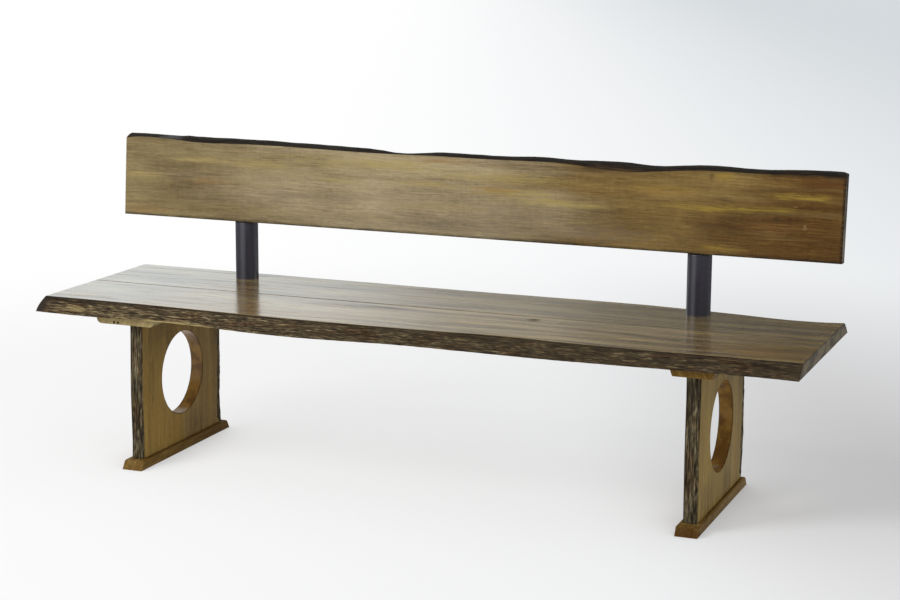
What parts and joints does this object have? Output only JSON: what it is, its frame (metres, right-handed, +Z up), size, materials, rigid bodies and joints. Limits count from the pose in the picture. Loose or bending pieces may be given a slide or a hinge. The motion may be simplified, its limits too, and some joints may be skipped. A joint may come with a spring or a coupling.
{
  "type": "bench",
  "caption": "Long live-edge wooden bench with a raked back board on round steel posts and slab legs with a round hole; seats people side by side.",
  "frame": {"origin": "on the floor under the middle of the seat's outline", "axes": "+X along the bench to the right of someone facing it, +Y from front to back, +Z up"},
  "size_m": [2.05, 0.6374, 0.8432],
  "materials": {
    "seat_wood": "gloss lacquer",
    "back_wood": "satin lacquer",
    "leg_wood": "satin lacquer",
    "rail_wood": "satin lacquer",
    "dowel_wood": "plain",
    "post_steel": "satin black",
    "bare_steel": "zinc plated"
  },
  "bodies": {
    "root": {"seat_front_plank": "seat_wood", "seat_rear_plank": "seat_wood", "seat_dowels": "dowel_wood", "back_board": "back_wood", "left_post_tube": "post_steel", "left_post_cap": "post_steel", "left_post_base": "bare_steel", "left_backing_plate": "post_steel", "left_post_bolts": "bare_steel", "left_back_bracket": "post_steel", "left_bracket_screws": "bare_steel", "left_leg_front_plank": "leg_wood", "left_leg_rear_plank": "leg_wood", "left_leg_dowels": "dowel_wood", "left_bearer": "rail_wood", "left_bearer_seat_screws": "bare_steel", "left_bearer_leg_screws": "bare_steel", "left_foot_rail": "rail_wood", "left_foot_screws": "bare_steel", "right_post_tube": "post_steel", "right_post_cap": "post_steel", "right_post_base": "bare_steel", "right_backing_plate": "post_steel", "right_post_bolts": "bare_steel", "right_back_bracket": "post_steel", "right_bracket_screws": "bare_steel", "right_leg_front_plank": "leg_wood", "right_leg_rear_plank": "leg_wood", "right_leg_dowels": "dowel_wood", "right_bearer": "rail_wood", "right_bearer_seat_screws": "bare_steel", "right_bearer_leg_screws": "bare_steel", "right_foot_rail": "rail_wood", "right_foot_screws": "bare_steel"}
  },
  "joints": []
}
